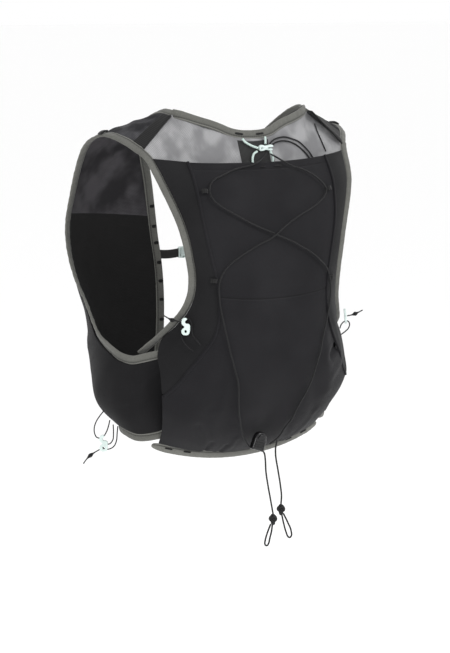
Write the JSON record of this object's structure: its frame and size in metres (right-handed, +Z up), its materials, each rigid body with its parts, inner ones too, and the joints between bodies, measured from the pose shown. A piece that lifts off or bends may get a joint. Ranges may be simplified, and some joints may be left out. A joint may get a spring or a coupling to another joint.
{
  "type": "running hydration vest",
  "caption": "Sleeveless running vest shown as worn, with a stretch back pocket under crossed lacing, front pockets, a chest strap and hanging cord ends.",
  "frame": {"origin": "middle of the shoulder line, where a body form or a hanger carries the vest", "axes": "+Z up, +Y out of the wearer's back, +X to the wearer's left"},
  "size_m": [0.3453, 0.2379, 0.506],
  "materials": {
    "binding_knit": "grey elastic binding",
    "yoke_mesh": "light grey mesh",
    "strap_mesh": "dark grey mesh",
    "pocket_fabric": "near-black stretch fabric",
    "side_fabric": "near-black knit",
    "webbing": "black webbing",
    "cord": "black elastic cord",
    "mint_cord": "pale green cord",
    "mint_plastic": "pale green plastic",
    "black_plastic": "black plastic"
  },
  "bodies": {
    "root": {"back_panel": "yoke_mesh", "centre_strip": "webbing", "stash_pocket": "pocket_fabric", "pocket_side_left": "side_fabric", "pocket_side_right": "side_fabric", "shoulder_band_left": "webbing", "shoulder_band_right": "webbing", "shoulder_mesh_left": "strap_mesh", "shoulder_mesh_right": "strap_mesh", "front_panel_left": "strap_mesh", "front_panel_right": "strap_mesh", "front_pocket_left": "side_fabric", "front_pocket_right": "side_fabric", "armhole_binding_left": "binding_knit", "armhole_binding_right": "binding_knit", "front_edge_binding": "binding_knit", "back_hem_binding": "binding_knit", "shoulder_tab_left": "webbing", "shoulder_tab_right": "webbing", "sternum_strap_left": "webbing", "sternum_strap_right": "webbing", "sternum_buckle": "mint_plastic", "lace_anchor_upper_left": "webbing", "lace_anchor_upper_right": "webbing", "lace_anchor_lower_left": "webbing", "lace_anchor_lower_right": "webbing", "lacing_left": "cord", "lacing_right": "cord", "mouth_cord_outer": "cord", "mouth_cord_inner": "cord", "lace_clip": "black_plastic", "tail_left": "cord", "tail_right": "cord", "tail_knot_left": "cord", "tail_knot_right": "cord", "tail_loop_left": "cord", "tail_loop_right": "cord", "neck_cord_upper_left": "mint_cord", "neck_cord_upper_right": "mint_cord", "neck_cord_lower_left": "mint_cord", "neck_cord_lower_right": "mint_cord", "neck_hook": "mint_plastic", "rear_hook_left": "mint_plastic", "rear_hook_right": "mint_plastic", "rear_hook_loop_left": "cord", "rear_hook_loop_right": "cord", "rear_hook_tail_left": "cord", "rear_hook_tail_right": "cord", "front_hook_left": "mint_plastic", "front_hook_right": "mint_plastic", "front_hook_loop_left": "cord", "front_hook_loop_right": "cord", "front_hook_cord_left": "cord", "front_hook_cord_right": "cord", "front_hook_tail_left": "cord", "front_hook_tail_right": "cord", "shoulder_cord_right": "cord"}
  },
  "joints": []
}
